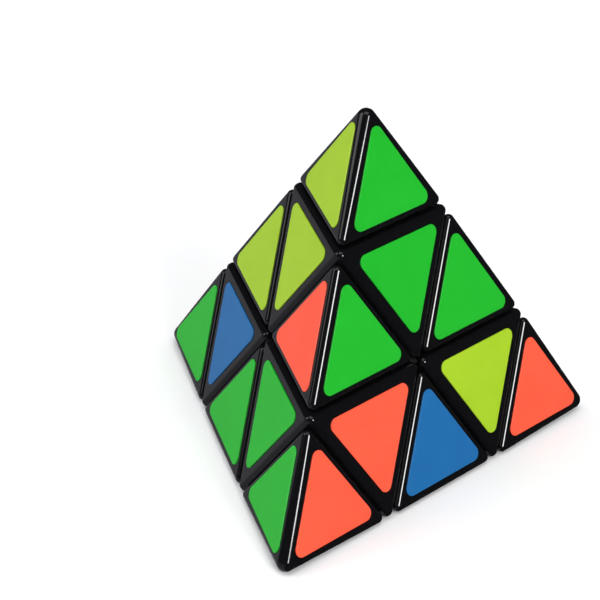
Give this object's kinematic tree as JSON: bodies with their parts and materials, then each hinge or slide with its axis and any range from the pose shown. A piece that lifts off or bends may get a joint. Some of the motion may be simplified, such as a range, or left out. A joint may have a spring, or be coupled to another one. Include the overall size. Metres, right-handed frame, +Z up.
{
  "type": "pyramid twisty puzzle",
  "caption": "Four-cornered pyramid twisty puzzle with turning tips and turning layers, black pieces and coloured triangular stickers on every facet",
  "frame": {"origin": "middle of the core, where the four turning axes meet, which is also the centre of mass", "axes": "+Z up through the top tip; the base faces -Z; the front tip lies towards -Y; +X towards the right tip"},
  "size_m": [0.0924, 0.0809, 0.0764],
  "materials": {
    "black_plastic": "glossy moulded black plastic",
    "core_plastic": "natural white moulded plastic",
    "screw_steel": "zinc plated steel",
    "spring_wire": "drawn spring steel",
    "sticker_green": "satin vinyl film",
    "sticker_orange": "satin vinyl film",
    "sticker_lime": "satin vinyl film",
    "sticker_blue": "satin vinyl film"
  },
  "bodies": {
    "core": {"core": "core_plastic", "tension_screws": "screw_steel", "washers": "screw_steel", "springs": "spring_wire"},
    "top_centre": {"centre_top": "black_plastic", "rightface_centre_top": "sticker_green", "leftface_centre_top": "sticker_lime", "backface_centre_top": "sticker_orange"},
    "front_centre": {"centre_front": "black_plastic", "rightface_centre_front": "sticker_orange", "leftface_centre_front": "sticker_green", "base_centre_front": "sticker_blue"},
    "left_centre": {"centre_left": "black_plastic", "leftface_centre_left": "sticker_blue", "backface_centre_left": "sticker_green", "base_centre_left": "sticker_lime"},
    "right_centre": {"centre_right": "black_plastic", "rightface_centre_right": "sticker_lime", "backface_centre_right": "sticker_blue", "base_centre_right": "sticker_orange"},
    "top_tip": {"tip_top": "black_plastic", "rightface_tip_top": "sticker_green", "leftface_tip_top": "sticker_lime", "backface_tip_top": "sticker_orange"},
    "front_tip": {"tip_front": "black_plastic", "rightface_tip_front": "sticker_orange", "leftface_tip_front": "sticker_green", "base_tip_front": "sticker_blue"},
    "left_tip": {"tip_left": "black_plastic", "leftface_tip_left": "sticker_green", "backface_tip_left": "sticker_lime", "base_tip_left": "sticker_blue"},
    "right_tip": {"tip_right": "black_plastic", "rightface_tip_right": "sticker_orange", "backface_tip_right": "sticker_lime", "base_tip_right": "sticker_blue"},
    "top_front_edge": {"edge_top_front": "black_plastic", "foot_top_front": "black_plastic", "rightface_edge_top_front": "sticker_green", "leftface_edge_top_front": "sticker_orange"},
    "top_left_edge": {"edge_top_left": "black_plastic", "foot_top_left": "black_plastic", "leftface_edge_top_left": "sticker_lime", "backface_edge_top_left": "sticker_orange"},
    "top_right_edge": {"edge_top_right": "black_plastic", "foot_top_right": "black_plastic", "rightface_edge_top_right": "sticker_green", "backface_edge_top_right": "sticker_lime"},
    "front_left_edge": {"edge_front_left": "black_plastic", "foot_front_left": "black_plastic", "leftface_edge_front_left": "sticker_green", "base_edge_front_left": "sticker_blue"},
    "front_right_edge": {"edge_front_right": "black_plastic", "foot_front_right": "black_plastic", "rightface_edge_front_right": "sticker_blue", "base_edge_front_right": "sticker_lime"},
    "left_right_edge": {"edge_left_right": "black_plastic", "foot_left_right": "black_plastic", "backface_edge_left_right": "sticker_blue", "base_edge_left_right": "sticker_orange"}
  },
  "joints": [
    {"name": "top_layer_turn", "type": "hinge", "parent": "core", "child": "top_centre", "pos_m": [0, 0, 0], "axis": [0, 0, 1], "continuous": true},
    {"name": "front_layer_turn", "type": "hinge", "parent": "core", "child": "front_centre", "pos_m": [0, 0, 0], "axis": [0, -0.9428, -0.3333], "range_deg": [-360, 360]},
    {"name": "left_layer_turn", "type": "hinge", "parent": "core", "child": "left_centre", "pos_m": [0, 0, 0], "axis": [-0.8165, 0.4714, -0.3333], "range_deg": [-360, 360]},
    {"name": "right_layer_turn", "type": "hinge", "parent": "core", "child": "right_centre", "pos_m": [0, 0, 0], "axis": [0.8165, 0.4714, -0.3333], "range_deg": [-360, 360]},
    {"name": "top_tip_turn", "type": "hinge", "parent": "top_centre", "child": "top_tip", "pos_m": [0, 0, 0], "axis": [0, 0, 1], "continuous": true},
    {"name": "front_tip_turn", "type": "hinge", "parent": "front_centre", "child": "front_tip", "pos_m": [0, 0, 0], "axis": [0, -0.9428, -0.3333], "continuous": true},
    {"name": "left_tip_turn", "type": "hinge", "parent": "left_centre", "child": "left_tip", "pos_m": [0, 0, 0], "axis": [-0.8165, 0.4714, -0.3333], "continuous": true},
    {"name": "right_tip_turn", "type": "hinge", "parent": "right_centre", "child": "right_tip", "pos_m": [0, 0, 0], "axis": [0.8165, 0.4714, -0.3333], "continuous": true},
    {"name": "top_front_edge_turn", "type": "hinge", "parent": "top_centre", "child": "top_front_edge", "pos_m": [0, 0, 0], "axis": [0, -0.9428, -0.3333], "range_deg": [-360, 360]},
    {"name": "top_left_edge_turn", "type": "hinge", "parent": "top_centre", "child": "top_left_edge", "pos_m": [0, 0, 0], "axis": [-0.8165, 0.4714, -0.3333], "range_deg": [-360, 360]},
    {"name": "top_right_edge_turn", "type": "hinge", "parent": "top_centre", "child": "top_right_edge", "pos_m": [0, 0, 0], "axis": [0.8165, 0.4714, -0.3333], "range_deg": [-360, 360]},
    {"name": "front_right_edge_turn", "type": "hinge", "parent": "front_centre", "child": "front_right_edge", "pos_m": [0, 0, 0], "axis": [0.8165, 0.4714, -0.3333], "range_deg": [-360, 360]},
    {"name": "left_right_edge_turn", "type": "hinge", "parent": "right_centre", "child": "left_right_edge", "pos_m": [0, 0, 0], "axis": [-0.8165, 0.4714, -0.3333], "range_deg": [-360, 360]},
    {"name": "front_left_edge_turn", "type": "hinge", "parent": "left_centre", "child": "front_left_edge", "pos_m": [0, 0, 0], "axis": [0, -0.9428, -0.3333], "range_deg": [-360, 360]}
  ],
  "couplings": [
    {"joint": "top_front_edge_turn", "follows": "front_layer_turn", "ratio": 1},
    {"joint": "top_left_edge_turn", "follows": "left_layer_turn", "ratio": 1},
    {"joint": "top_right_edge_turn", "follows": "right_layer_turn", "ratio": 1},
    {"joint": "front_right_edge_turn", "follows": "right_layer_turn", "ratio": 1},
    {"joint": "left_right_edge_turn", "follows": "left_layer_turn", "ratio": 1},
    {"joint": "front_left_edge_turn", "follows": "front_layer_turn", "ratio": 1}
  ]
}
